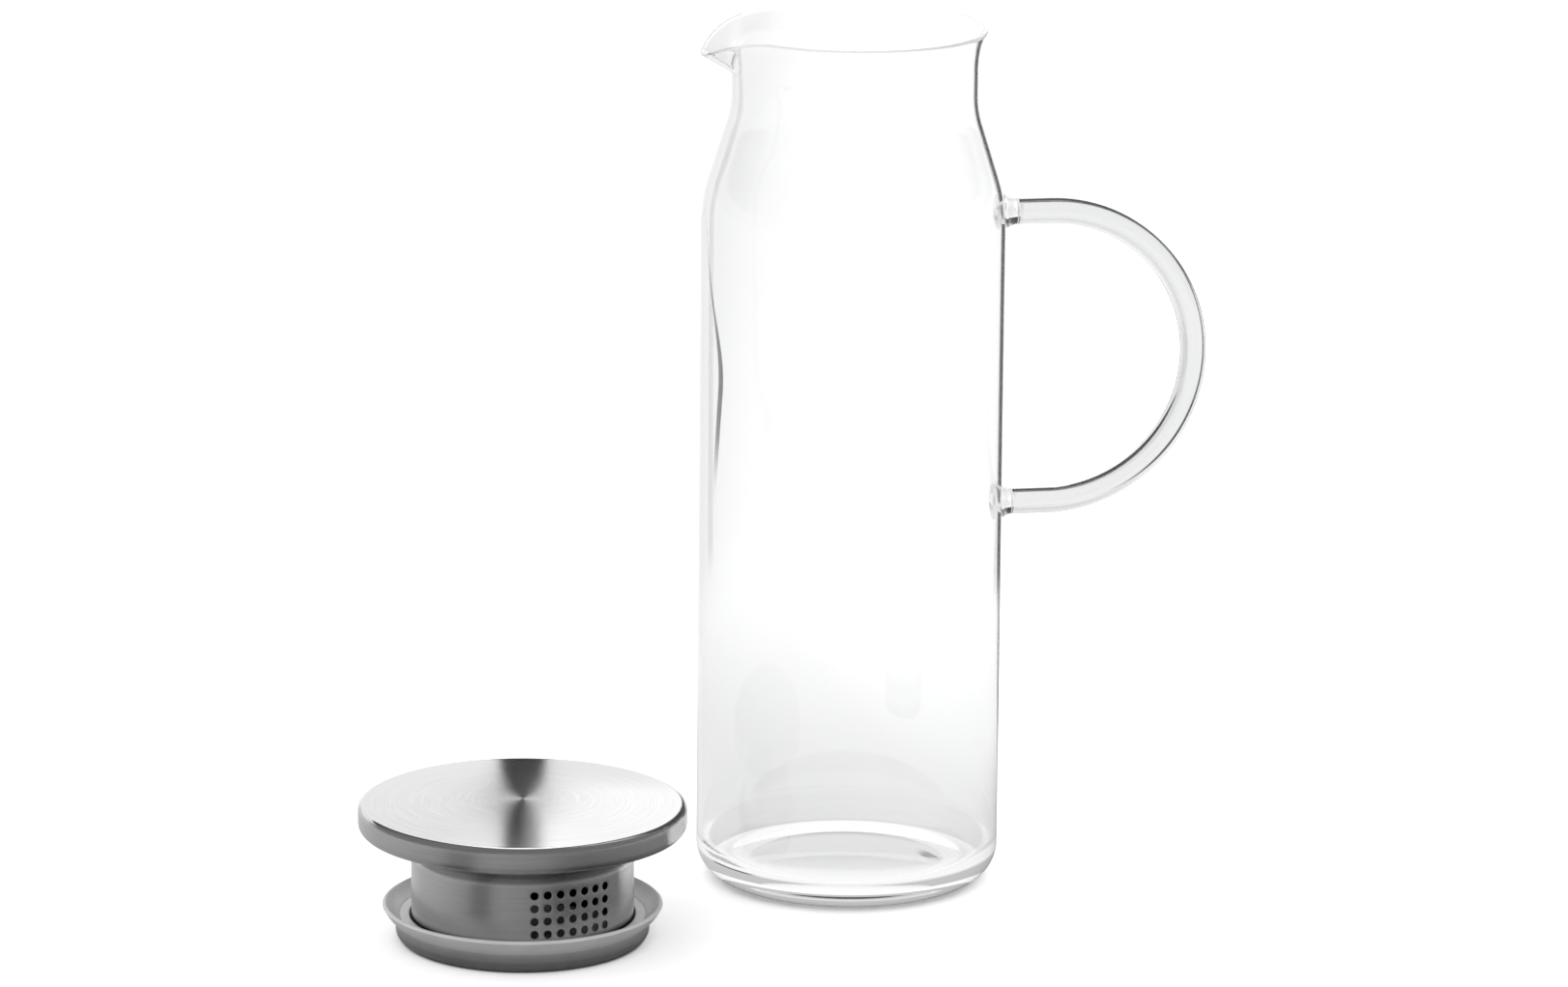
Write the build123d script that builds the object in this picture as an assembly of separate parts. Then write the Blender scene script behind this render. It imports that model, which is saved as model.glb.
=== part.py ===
from build123d import *
import math
import os

# Glass carafe with a steel strainer lid standing beside it.
# Millimetres, +Z up. The origin is the middle of the carafe's standing ring, on the table.
# The handle points along +X and the pouring lip along -X.

# Carafe, overall
carafe_height = 272.0
body_radius = 47.5
glass_wall = 1.3
base_corner_round = 11.0

# Carafe, neck and rim, with depths measured down from the rim
neck_radius = 38.3
rim_flare = 2.7
flare_depth = 13.0
neck_corner_depth = 25.6
shoulder_corner_depth = 54.8
shoulder_round = 53.0
neck_round = 30.0

# Carafe, bottom
floor_height = 5.6
push_up_height = 3.2
standing_ring_width = 5.5

# Pouring lip
lip_length = 9.1
lip_drop = 6.8
lip_underside_slope = 30.5
lip_root_depth = 16.0
lip_start_inset = 9.0
lip_start_slope = 4.0
lip_tip_round = 7.0
lip_root_narrowing = 2.5
lip_flank_tuck = 0.6

# Handle, a bent glass tube on two feet
tube_diameter = 8.2
tube_wall = 1.0
handle_arm_length = 15.0
handle_bend_radius = 46.5
upper_arm_depth = 59.7
foot_diameter = 11.6
upper_foot_length = 4.6
lower_foot_length = 4.0
foot_root_depth = 4.0
foot_flare_depth = 1.0

# Lid, place beside the carafe
lid_gap = 25.2
lid_azimuth = -154.62

# Lid, steel
sheet = 0.8
cover_overhang = 9.5
cover_height = 8.3
cover_dome = 1.2
cover_top_round = 2.0
cover_bottom_round = 2.4
cover_lip_width = 3.6
collar_inset = 1.2
collar_wall = 3.0
collar_height = 6.5
strainer_neck_gap = 2.8
strainer_wall = 0.7
strainer_height = 27.8
strainer_corner_round = 3.0
strainer_flange_width = 1.5

# Lid, holes in the strainer
hole_diameter = 2.5
hole_pitch = 4.1
hole_rows = 4
hole_columns = 7
hole_top_row_depth = 5.65
hole_group_azimuth = -71.7

# Lid, soft ring
ring_squeeze = 2.0
ring_foot_round = 3.6
ring_wall = 1.2
ring_shoulder_height = 6.0
ring_lip_width = 4.2
ring_lip_height = 11.0
ring_lip_bow = 0.35
ring_floor_height = 3.4
ring_seat_thickness = 1.2
ring_seat_overhang = 0.5
clearance = 0.3

# How far a cutter reaches past what it cuts
cut_margin = 2.0

# Worked out from the sizes above: carafe
rim_radius = neck_radius + rim_flare
flare_start_height = carafe_height - flare_depth
neck_corner_height = carafe_height - neck_corner_depth
shoulder_corner_height = carafe_height - shoulder_corner_depth
push_up_radius = body_radius - base_corner_round - standing_ring_width
lip_reach = rim_radius + lip_length
lip_tip_height = carafe_height - lip_drop
lip_slope = math.radians(lip_underside_slope)
handle_centre_x = body_radius + handle_arm_length
upper_arm_height = carafe_height - upper_arm_depth
handle_middle_height = upper_arm_height - handle_bend_radius
lower_arm_height = handle_middle_height - handle_bend_radius

# Worked out from the sizes above: lid
neck_bore_radius = neck_radius - glass_wall
cover_radius = rim_radius + cover_overhang
strainer_radius = neck_bore_radius - strainer_neck_gap
collar_radius = strainer_radius - strainer_corner_round - collar_inset
ring_body_radius = neck_bore_radius + ring_squeeze
ring_foot_radius = ring_body_radius - ring_foot_round
ring_lip_radius = ring_body_radius + ring_lip_width
strainer_top_height = ring_seat_thickness + strainer_height
underplate_height = strainer_top_height + collar_height
cover_bottom_height = underplate_height - sheet
cover_edge_height = cover_bottom_height + cover_height
lid_distance = body_radius + lid_gap + cover_radius
lid_place = Rot(0, 0, lid_azimuth) * Pos(lid_distance, 0, 0) * Rot(0, 0, -lid_azimuth)


def turned(outline):
    """Closed outline of radius and height, turned about the Z axis."""
    return revolve(Plane.XZ * make_face(outline), Axis.Z)


def flare_point(height, inset):
    """Radius and height on the flared mouth, moved inwards by inset."""
    rise = carafe_height - flare_start_height
    spread = rim_radius - neck_radius
    flare_radius = (rise**2 + spread**2) / (2 * spread)
    reach = flare_radius + inset
    drop = height - flare_start_height
    return (neck_radius + flare_radius - math.sqrt(reach**2 - drop**2), height)


def carafe_filled(inset, bottom_height):
    """Carafe without lip or handle, filled to its axis, with its wall moved inwards by inset."""
    lean = math.atan2(body_radius - neck_radius, neck_corner_height - shoulder_corner_height)
    dip = inset * math.tan(lean / 2)
    body = body_radius - inset
    neck = neck_radius - inset
    side = FilletPolyline(
        (0, bottom_height),
        (body, bottom_height),
        (body, shoulder_corner_height - dip),
        (neck, neck_corner_height - dip),
        (neck, flare_start_height),
        radius=[base_corner_round - inset, shoulder_round - inset, neck_round + inset],
    )
    middle = flare_point((flare_start_height + carafe_height) / 2, inset)
    top = flare_point(carafe_height, inset)
    flare = ThreePointArc((neck, flare_start_height), middle, top)
    closing = Polyline(top, (0, carafe_height), (0, bottom_height))
    return turned([side, flare, closing])


def lip_section(height, tip, flank_distance, nose_round):
    """Plan of the lip at one height: two flanks at a distance from the axis, touching a round nose."""
    nose_centre = tip - nose_round
    half_angle = math.acos((flank_distance - nose_round) / nose_centre)
    along = math.cos(half_angle)
    across = math.sin(half_angle)
    root = (-flank_distance * along, flank_distance * across)
    touch = (-nose_centre - nose_round * along, nose_round * across)
    outline = [
        Line(root, touch),
        ThreePointArc(touch, (-tip, 0), (touch[0], -touch[1])),
        Polyline((touch[0], -touch[1]), (root[0], -root[1]), (0, -root[1]), (0, root[1]), root),
    ]
    return Pos(0, 0, height) * make_face(outline)


def lip_filled(inset):
    """Beak of the pouring lip, filled, with its faces moved inwards by inset."""
    setback = inset / math.sin(lip_slope)
    root_height = carafe_height - lip_root_depth
    root_tip = lip_reach - (lip_root_depth - lip_drop) / math.tan(lip_slope)
    top_tip = lip_reach + lip_drop / math.tan(lip_slope)
    root_flank = root_tip - lip_root_narrowing
    nose_round = lip_tip_round - inset
    low = lip_section(root_height, root_tip - setback, root_flank - inset, nose_round)
    high = lip_section(carafe_height, top_tip - setback, rim_radius - lip_flank_tuck - inset, nose_round)
    return loft([low, high], ruled=True)


def above_lip():
    """Space above the drooping edge of the pouring lip."""
    start = (lip_start_inset - rim_radius, carafe_height)
    tip = (-lip_reach, lip_tip_height)
    slope = math.radians(lip_start_slope)
    droop = TangentArc(start, tip, tangent=(-math.cos(slope), -math.sin(slope)))
    outside = Polyline(
        tip,
        (-lip_reach - 2 * lip_drop, lip_tip_height),
        (-lip_reach - 2 * lip_drop, carafe_height + cut_margin),
        (start[0], carafe_height + cut_margin),
        start,
    )
    half = Plane.XZ * make_face([droop, outside])
    return extrude(half, amount=body_radius, both=True)


def push_up():
    """Shallow dish in the underside, inside the standing ring."""
    dish_radius = (push_up_radius**2 + push_up_height**2) / (2 * push_up_height)
    return Pos(0, 0, push_up_height - dish_radius) * Sphere(dish_radius)


def vessel_outside():
    """Outer shape of the glass body, filled."""
    return carafe_filled(0, 0) + lip_filled(0) - above_lip()


def vessel():
    """Blown glass body with its lip, its mouth and its pushed-up bottom."""
    hollow = carafe_filled(glass_wall, floor_height) + lip_filled(glass_wall)
    return vessel_outside() - hollow - push_up()


def handle_tube():
    """Glass tube bent to a D, from one foot to the other; the feet close its ends."""
    upper_start = (body_radius + upper_foot_length, upper_arm_height)
    upper_bend = (handle_centre_x, upper_arm_height)
    far_point = (handle_centre_x + handle_bend_radius, handle_middle_height)
    lower_bend = (handle_centre_x, lower_arm_height)
    lower_end = (body_radius + lower_foot_length, lower_arm_height)
    path = Plane.XZ * Wire([
        Line(upper_start, upper_bend),
        ThreePointArc(upper_bend, far_point, lower_bend),
        Line(lower_bend, lower_end),
    ])
    tube_radius = tube_diameter / 2
    section = Circle(tube_radius) - Circle(tube_radius - tube_wall)
    return sweep(Plane(path @ 0, z_dir=path % 0) * section, path=path)


def handle_foot(height, length):
    """Trumpet of glass between the wall and one end of the tube, shaped to the wall."""
    tube_end = (body_radius + length, height + tube_diameter / 2)
    wall_end = (body_radius - foot_flare_depth, height + foot_diameter / 2)
    flare = TangentArc(tube_end, wall_end, tangent=(-1, 0))
    rest = Polyline(
        wall_end,
        (body_radius - foot_root_depth, wall_end[1]),
        (body_radius - foot_root_depth, height),
        (tube_end[0], height),
        tube_end,
    )
    arm_axis = Axis((0, 0, height), (1, 0, 0))
    return revolve(Plane.XZ * make_face([flare, rest]), arm_axis) - vessel_outside()


def cover_filled(inset):
    """Lid's disc as a filled solid, with its faces moved inwards by inset."""
    radius = cover_radius - inset
    bottom = cover_bottom_height + inset
    edge = cover_edge_height - inset
    side = FilletPolyline(
        (0, bottom),
        (radius, bottom),
        (radius, edge),
        (0, edge),
        radius=[cover_bottom_round - inset, cover_top_round - inset],
    )
    dome_radius = cover_radius - cover_top_round
    sphere_radius = (dome_radius**2 + cover_dome**2) / (2 * cover_dome)
    sphere = Pos(0, 0, edge + cover_dome - sphere_radius) * Sphere(sphere_radius)
    around = Pos(0, 0, edge) * Cylinder(dome_radius, 2 * (cover_dome + cut_margin))
    return turned([side, Line((0, edge), (0, bottom))]) + (sphere & around)


def lid_cover():
    """Steel disc with a slightly domed top and a turned-down, turned-in rim."""
    opening_radius = cover_radius - cover_lip_width
    opening = Pos(0, 0, cover_bottom_height) * Cylinder(opening_radius, 2 * (sheet + clearance))
    return lid_place * (cover_filled(0) - cover_filled(sheet) - opening)


def lid_underplate():
    """Steel plate inside the disc, lying on the turned-in rim."""
    radius = cover_radius - cover_bottom_round
    return lid_place * Pos(0, 0, underplate_height + sheet / 2) * Cylinder(radius, sheet)


def lid_collar():
    """Short steel ring between the underplate and the strainer."""
    middle = Pos(0, 0, strainer_top_height + collar_height / 2)
    ring = Cylinder(collar_radius, collar_height) - Cylinder(collar_radius - collar_wall, collar_height)
    return lid_place * middle * ring


def strainer_holes():
    """Pins that cut the rows of round holes in the strainer's side."""
    step = math.degrees(hole_pitch / strainer_radius)
    length = 2 * (strainer_wall + cut_margin)
    pins = []
    for column in range(hole_columns):
        azimuth = hole_group_azimuth + (column - (hole_columns - 1) / 2) * step
        for row in range(hole_rows):
            height = strainer_top_height - hole_top_row_depth - row * hole_pitch
            pin = Rot(0, 90, 0) * Cylinder(hole_diameter / 2, length)
            pins.append(Rot(0, 0, azimuth) * Pos(strainer_radius, 0, height) * pin)
    return pins


def strainer():
    """Drawn steel cup, open downwards, with a small flange at its foot."""
    foot = ring_seat_thickness
    top = strainer_top_height
    outer_radius = strainer_radius
    inner_radius = strainer_radius - strainer_wall
    flange = strainer_radius + strainer_flange_width
    outer = FilletPolyline(
        (outer_radius, foot + strainer_wall),
        (outer_radius, top),
        (0, top),
        radius=strainer_corner_round,
    )
    inner = FilletPolyline(
        (0, top - strainer_wall),
        (inner_radius, top - strainer_wall),
        (inner_radius, foot),
        radius=strainer_corner_round - strainer_wall,
    )
    foot_line = Polyline(
        (inner_radius, foot),
        (flange, foot),
        (flange, foot + strainer_wall),
        (outer_radius, foot + strainer_wall),
    )
    axis_line = Line((0, top), (0, top - strainer_wall))
    cup = turned([outer, axis_line, inner, foot_line])
    return lid_place * (cup - strainer_holes())


def gasket():
    """Soft ring that grips the strainer's flange and seals in the neck with a flared lip."""
    bore = strainer_radius - strainer_wall - ring_seat_overhang
    pocket = strainer_radius + strainer_flange_width + clearance
    pocket_top = ring_seat_thickness + strainer_wall + clearance
    grip = strainer_radius + clearance
    wall_inside = ring_body_radius - ring_wall
    lean = math.atan2(ring_lip_width, ring_lip_height - ring_shoulder_height)
    sideways = ring_wall * math.cos(lean)
    upwards = ring_wall * math.sin(lean)

    def flare(low, high):
        middle = ((low[0] + high[0]) / 2 + ring_lip_bow, (low[1] + high[1]) / 2 - ring_lip_bow)
        return ThreePointArc(low, middle, high)

    foot_corner = (ring_foot_radius, 0)
    body_corner = (ring_body_radius, ring_foot_round)
    shoulder = (ring_body_radius, ring_shoulder_height)
    lip = (ring_lip_radius, ring_lip_height)
    lip_inside = (ring_lip_radius - sideways, ring_lip_height + upwards)
    shoulder_inside = (wall_inside, ring_shoulder_height + upwards)
    outline = [
        Line((bore, 0), foot_corner),
        TangentArc(foot_corner, body_corner, tangent=(1, 0)),
        Line(body_corner, shoulder),
        flare(shoulder, lip),
        Line(lip, lip_inside),
        flare(shoulder_inside, lip_inside),
        Polyline(
            shoulder_inside,
            (wall_inside, ring_floor_height),
            (grip, ring_floor_height),
            (grip, pocket_top),
            (pocket, pocket_top),
            (pocket, ring_seat_thickness),
            (bore, ring_seat_thickness),
            (bore, 0),
        ),
    ]
    return lid_place * turned(outline)


def main():
    os.makedirs("parts", exist_ok=True)
    parts = {
        "vessel": vessel(),
        "handle_tube": handle_tube(),
        "handle_upper_foot": handle_foot(upper_arm_height, upper_foot_length),
        "handle_lower_foot": handle_foot(lower_arm_height, lower_foot_length),
        "lid_cover": lid_cover(),
        "lid_underplate": lid_underplate(),
        "lid_collar": lid_collar(),
        "strainer": strainer(),
        "gasket": gasket(),
    }
    for node, solid in parts.items():
        export_step(solid, "parts/" + node + ".step")


if __name__ == "__main__":
    main()
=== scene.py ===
import math

import bmesh
import bpy
from mathutils import Matrix, Vector


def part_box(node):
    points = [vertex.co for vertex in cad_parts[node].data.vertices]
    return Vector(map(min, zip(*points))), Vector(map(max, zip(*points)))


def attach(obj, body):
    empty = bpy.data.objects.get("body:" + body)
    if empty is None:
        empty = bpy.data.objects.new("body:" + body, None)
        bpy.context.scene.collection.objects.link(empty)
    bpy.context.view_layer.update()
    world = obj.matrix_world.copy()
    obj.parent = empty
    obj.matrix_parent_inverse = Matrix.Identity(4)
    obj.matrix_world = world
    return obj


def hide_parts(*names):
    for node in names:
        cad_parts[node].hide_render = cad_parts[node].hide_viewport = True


# A clear glass carafe with a drawn lip and a glass handle, and its steel strainer lid beside it.
# Metres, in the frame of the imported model: +Z up, handle along +X, pouring lip along -X.

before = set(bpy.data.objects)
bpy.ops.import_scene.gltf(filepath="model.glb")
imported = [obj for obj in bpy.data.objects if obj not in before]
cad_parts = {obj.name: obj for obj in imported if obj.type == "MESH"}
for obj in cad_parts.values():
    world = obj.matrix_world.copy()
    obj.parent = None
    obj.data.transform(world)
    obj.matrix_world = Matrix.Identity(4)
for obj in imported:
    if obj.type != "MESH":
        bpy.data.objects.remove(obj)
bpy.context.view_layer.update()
MM = 0.001

# The photograph's camera, found from the outlines of the carafe and the lid
CAMERA_DISTANCE = 2.3587
CAMERA_HEIGHT = 0.7175
CAMERA_AZIMUTH = math.radians(-10.9)
CAMERA_YAW = -0.0088
CAMERA_PITCH = 0.2468
CAMERA_ROLL = 0.0095
FOCAL_LENGTH_PIXELS = 8038.2
IMAGE_WIDTH_PIXELS = 1622
SENSOR_WIDTH_MM = 36.0

# Carafe, overall sizes from the frame
vessel_low, vessel_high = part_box("vessel")
tube_low, tube_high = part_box("handle_tube")
CARAFE_HEIGHT = vessel_high.z
BODY_RADIUS = vessel_high.y
LIP_REACH = -vessel_low.x

# Carafe, body and neck
GLASS_WALL = 1.3 * MM
BASE_CORNER_ROUND = 11 * MM
NECK_RADIUS = 38.3 * MM
RIM_RADIUS = 41 * MM
SHOULDER_CORNER_HEIGHT = 217.2 * MM
NECK_CORNER_HEIGHT = 246.4 * MM
NECK_STRAIGHT = 6 * MM
SHOULDER_ROUND = 53 * MM
NECK_ROUND = 30 * MM
FLARE_START_HEIGHT = 259 * MM

# Carafe, bottom: down to INSIDE_START_HEIGHT the inside follows the outside, and below it is the thick floor
FLOOR_HEIGHT = 5.6 * MM
PUSH_UP_HEIGHT = 3.2 * MM
PUSH_UP_RADIUS = 31 * MM
INSIDE_START_HEIGHT = BASE_CORNER_ROUND + 9 * MM
FLOOR_SIDE_TOP = BASE_CORNER_ROUND + 8 * MM

# Carafe, fineness of the mesh
VESSEL_COLUMNS = 288
VESSEL_ARC_STEP = math.radians(3)
VESSEL_ROW_SPACING = 5 * MM
FLOOR_ROW_SPACING = 2.5 * MM
DISH_ROWS = 24
MOUTH_ROWS = 30
MOUTH_EDGE_STEPS = 8

# Pouring lip
LIP_DROP = 6.8 * MM
LIP_ROOT_DEPTH = 16 * MM
LIP_UNDERSIDE_SLOPE = math.radians(30.5)
LIP_START = 32 * MM
LIP_START_SLOPE = math.radians(4)
LIP_NOSE_ROUND = 7 * MM
LIP_ROOT_NARROWING = 2.5 * MM
LIP_BLEND = 1.6 * MM

# Handle
TUBE_RADIUS = (tube_high.y - tube_low.y) / 2
TUBE_WALL = 1 * MM
BORE_SHIFT = 0.35 * MM
BORE_END_INSET = 0.4 * MM
BORE_END_ROUND = 0.8 * MM
HANDLE_REACH = tube_high.x
HANDLE_BEND_RADIUS = (tube_high.z - tube_low.z) / 2 - TUBE_RADIUS
HANDLE_MIDDLE_HEIGHT = (tube_high.z + tube_low.z) / 2
UPPER_ARM_HEIGHT = HANDLE_MIDDLE_HEIGHT + HANDLE_BEND_RADIUS
LOWER_ARM_HEIGHT = HANDLE_MIDDLE_HEIGHT - HANDLE_BEND_RADIUS
FOOT_RADIUS = 5.8 * MM
UPPER_FOOT_LENGTH = 4.6 * MM
LOWER_FOOT_LENGTH = 4 * MM

# Lid, overall sizes from the frame
ring_low, ring_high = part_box("gasket")
cover_low, cover_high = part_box("lid_cover")
LID_CENTRE = Vector(((ring_low.x + ring_high.x) / 2, (ring_low.y + ring_high.y) / 2, 0))
COVER_RADIUS = (cover_high.x - cover_low.x) / 2
COVER_BOTTOM = cover_low.z
COVER_TOP = cover_high.z
STRAINER_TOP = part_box("strainer")[1].z

# Lid, steel
SHEET = 0.8 * MM
SHEET_EDGE_ROUND = 0.2 * MM
COVER_DOME = 1.2 * MM
COVER_TOP_ROUND = 2 * MM
COVER_BOTTOM_ROUND = 2.4 * MM
COVER_LIP_WIDTH = 3.6 * MM
COVER_FACE_DEPTH = 0.7 * MM
STRAINER_RADIUS = 34.2 * MM
STRAINER_WALL = 0.7 * MM
STRAINER_CORNER_ROUND = 3 * MM
STRAINER_FOOT_ROUND = 0.3 * MM
STRAINER_FLANGE_WIDTH = 1.5 * MM

# Lid, holes in the strainer
HOLE_RADIUS = 1.25 * MM
HOLE_PITCH = 4.1 * MM
HOLE_ROWS = 4
HOLE_COLUMNS = 7
HOLE_TOP_ROW_DEPTH = 5.65 * MM
HOLE_GROUP_AZIMUTH = math.radians(-71.7)
HOLE_SIDE_STEPS = 6
# Faces this far below the strainer's outside, in the holes and inside the cup, take steel painted dark as
# shade
HOLE_SHADE_DEPTH = 0.12 * MM

# Lid, soft ring
RING_FOOT_ROUND = 3.5 * MM
RING_BODY_RADIUS = 39 * MM
RING_WALL = 1.2 * MM
RING_SHOULDER_HEIGHT = 6 * MM
RING_LIP_RADIUS = (ring_high.x - ring_low.x) / 2
RING_LIP_HEIGHT = 11 * MM
RING_LIP_BOW = 0.35 * MM
RING_FLOOR_HEIGHT = 7.8 * MM
RING_STEP = 0.4 * MM
RING_SEAT_THICKNESS = 1.2 * MM
RING_BORE_RADIUS = 33 * MM
FIT_CLEARANCE = 0.3 * MM

# Lid, fineness of the mesh
LATHE_COLUMNS = 256
LID_POINT_SPACING = 1 * MM
STRAINER_POINT_SPACING = 1.5 * MM

# A circle smaller than this is a single point
POLE_RADIUS = 1e-7


# Meshes

def rounded(corners, radii, closed=False, arc_step=math.radians(9)):
    """Points along an outline of (radius, height) corners, with each inner corner rounded by an arc."""
    corners = [Vector(corner) for corner in corners]
    if closed:
        trios = list(zip(corners[-1:] + corners[:-1], corners, corners[1:] + corners[:1]))
        points = []
    else:
        trios = list(zip(corners, corners[1:], corners[2:]))
        points = [corners[0]]
    for (before, corner, after), radius in zip(trios, radii):
        arrive = (corner - before).normalized()
        leave = (after - corner).normalized()
        turn = math.atan2(arrive.cross(leave), arrive.dot(leave))
        start = corner - arrive * radius * math.tan(abs(turn) / 2)
        centre = start + Vector((-arrive.y, arrive.x)) * math.copysign(radius, turn)
        steps = max(1, math.ceil(abs(turn) / arc_step))
        for step in range(steps + 1):
            points.append(centre + Matrix.Rotation(turn * step / steps, 2) @ (start - centre))
    if not closed:
        points.append(corners[-1])
    return points


def resampled(points, spacing, closed=False):
    """The same outline with more points, so that no stretch is longer than spacing."""
    ends = points[1:] + points[:1] if closed else points[1:]
    dense = []
    for start, end in zip(points, ends):
        parts = max(1, math.ceil((end - start).length / spacing))
        dense += [start.lerp(end, part / parts) for part in range(parts)]
    return dense if closed else dense + [points[-1]]


def at_angle(radius, angle, height):
    """Point at a radius and an angle about the Z axis."""
    return Vector((radius * math.cos(angle), radius * math.sin(angle), height))


def ring_at(radius, height, columns=LATHE_COLUMNS):
    """Circle of points about the Z axis, or one point where the radius is nothing."""
    if radius < POLE_RADIUS:
        return [Vector((0, 0, height))]
    return [at_angle(radius, 2 * math.pi * column / columns, height) for column in range(columns)]


def weave(mesh, rings, closed=False, offset=Vector()):
    """Faces that join each ring of points to the next; a ring of one point is a pole."""
    faces = []
    rows = [[mesh.verts.new(point + offset) for point in ring] for ring in rings]
    pairs = list(zip(rows, rows[1:])) + ([(rows[-1], rows[0])] if closed else [])
    for low, high in pairs:
        count = max(len(low), len(high))
        for i in range(count):
            j = (i + 1) % count
            corners = [low[i % len(low)], low[j % len(low)], high[j % len(high)], high[i % len(high)]]
            faces.append(mesh.faces.new(list(dict.fromkeys(corners))))
    return faces


def skin(name, rings, closed=False, offset=Vector()):
    """Object whose faces join each ring of points to the next."""
    mesh = bmesh.new()
    weave(mesh, rings, closed, offset)
    return finished(name, mesh)


def finished(name, mesh, hollow=()):
    """Smooth-shaded object with its normals outwards; those of hollow faces point into the hollow."""
    bmesh.ops.recalc_face_normals(mesh, faces=mesh.faces)
    bmesh.ops.reverse_faces(mesh, faces=hollow)
    for face in mesh.faces:
        face.smooth = True
    data = bpy.data.meshes.new(name)
    mesh.to_mesh(data)
    mesh.free()
    made = bpy.data.objects.new(name, data)
    bpy.context.scene.collection.objects.link(made)
    return made


def lathe(name, outline, closed=False):
    """Outline of (radius, height) points turned about the lid's axis."""
    return skin(name, [ring_at(point.x, point.y) for point in outline], closed, LID_CENTRE)


# Carafe

def lip_droop(reach):
    """Height of the mouth's edge at a distance from the axis towards the lip."""
    if reach <= LIP_START:
        return CARAFE_HEIGHT
    run = LIP_REACH - LIP_START
    chord_slope = math.atan2(LIP_DROP, run)
    bend = chord_slope - LIP_START_SLOPE
    arc_radius = math.hypot(run, LIP_DROP) / (2 * math.sin(bend))
    start_run = arc_radius * math.sin(LIP_START_SLOPE)
    share = min(1, (reach - LIP_START + start_run) / arc_radius)
    return CARAFE_HEIGHT - arc_radius * (math.cos(LIP_START_SLOPE) - math.sqrt(1 - share**2))


def lip_radius(angle, height):
    """Distance from the axis to the beak of the lip, at an angle away from the lip's middle."""
    root_height = CARAFE_HEIGHT - LIP_ROOT_DEPTH
    share = (height - root_height) / LIP_ROOT_DEPTH
    run = 1 / math.tan(LIP_UNDERSIDE_SLOPE)
    tip = LIP_REACH + (height - CARAFE_HEIGHT + LIP_DROP) * run
    root_tip = LIP_REACH + (LIP_DROP - LIP_ROOT_DEPTH) * run
    root_flank = root_tip - LIP_ROOT_NARROWING
    flank = root_flank + (RIM_RADIUS - root_flank) * share
    nose_centre = tip - LIP_NOSE_ROUND
    flank_angle = math.acos(max(-1, min(1, (flank - LIP_NOSE_ROUND) / nose_centre)))
    touch_x = nose_centre + LIP_NOSE_ROUND * math.cos(flank_angle)
    touch_angle = math.atan2(LIP_NOSE_ROUND * math.sin(flank_angle), touch_x)
    if angle >= flank_angle:
        return flank
    if angle >= touch_angle:
        return flank / math.cos(flank_angle - angle)
    across = nose_centre * math.sin(angle)
    return nose_centre * math.cos(angle) + math.sqrt(LIP_NOSE_ROUND**2 - across**2)


def flare_radius(height):
    """Radius of the neck and its flared mouth, without the lip."""
    rise = CARAFE_HEIGHT - FLARE_START_HEIGHT
    spread = RIM_RADIUS - NECK_RADIUS
    arc_radius = (rise**2 + spread**2) / (2 * spread)
    climb = max(0, height - FLARE_START_HEIGHT)
    return NECK_RADIUS + arc_radius - math.sqrt(arc_radius**2 - climb**2)


def mouth_radius(angle, height):
    """Radius of the mouth with its lip blended in, at an angle away from the lip's middle."""
    plain = flare_radius(height)
    if height <= CARAFE_HEIGHT - LIP_ROOT_DEPTH:
        return plain
    beak = lip_radius(angle, height)
    overlap = max(0, 1 - abs(plain - beak) / LIP_BLEND)
    return max(plain, beak) + overlap**2 * LIP_BLEND / 4


def mouth_edge_height(angle):
    """Height at which the mouth's surface meets the drooping edge."""
    low = CARAFE_HEIGHT - LIP_ROOT_DEPTH
    high = CARAFE_HEIGHT
    halvings = 30
    for _ in range(halvings):
        middle = (low + high) / 2
        if middle < lip_droop(mouth_radius(angle, middle) * math.cos(angle)):
            low = middle
        else:
            high = middle
    return low


def outer_rings():
    """Rings of the carafe's outside, from the middle of the bottom to the mouth."""
    dish = []
    for row in range(DISH_ROWS):
        share = row / DISH_ROWS
        dish.append(Vector((PUSH_UP_RADIUS * share, PUSH_UP_HEIGHT * (1 - share**2))))
    side = rounded(
        [
            (PUSH_UP_RADIUS, 0),
            (BODY_RADIUS, 0),
            (BODY_RADIUS, SHOULDER_CORNER_HEIGHT),
            (NECK_RADIUS, NECK_CORNER_HEIGHT),
            (NECK_RADIUS, NECK_CORNER_HEIGHT + NECK_STRAIGHT),
        ],
        [BASE_CORNER_ROUND, SHOULDER_ROUND, NECK_ROUND],
        arc_step=VESSEL_ARC_STEP,
    )
    outline = dish + resampled(side, VESSEL_ROW_SPACING)
    rings = [ring_at(point.x, point.y, VESSEL_COLUMNS) for point in outline]
    mouth_start = side[-1].y
    columns = []
    for column in range(VESSEL_COLUMNS):
        angle = 2 * math.pi * column / VESSEL_COLUMNS
        from_lip = abs(math.pi - angle)
        edge = mouth_edge_height(from_lip)
        step = 0.05 * MM
        lean = (mouth_radius(from_lip, edge) - mouth_radius(from_lip, edge - step)) / step
        top = edge - GLASS_WALL / 2 * (1 + lean / math.sqrt(1 + lean**2))
        heights = [mouth_start + (top - mouth_start) * row / MOUTH_ROWS for row in range(1, MOUTH_ROWS + 1)]
        columns.append([at_angle(mouth_radius(from_lip, height), angle, height) for height in heights])
    return rings + [list(row) for row in zip(*columns)]


def ring_normals(rings, row):
    """Outward normals of the surface at one ring, from its neighbours."""
    below, here, above = rings[row - 1], rings[row], rings[min(row + 1, len(rings) - 1)]
    normals = []
    for i in range(len(here)):
        around = here[(i + 1) % len(here)] - here[i - 1]
        normals.append(around.cross(above[i] - below[i]).normalized())
    return normals


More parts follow.
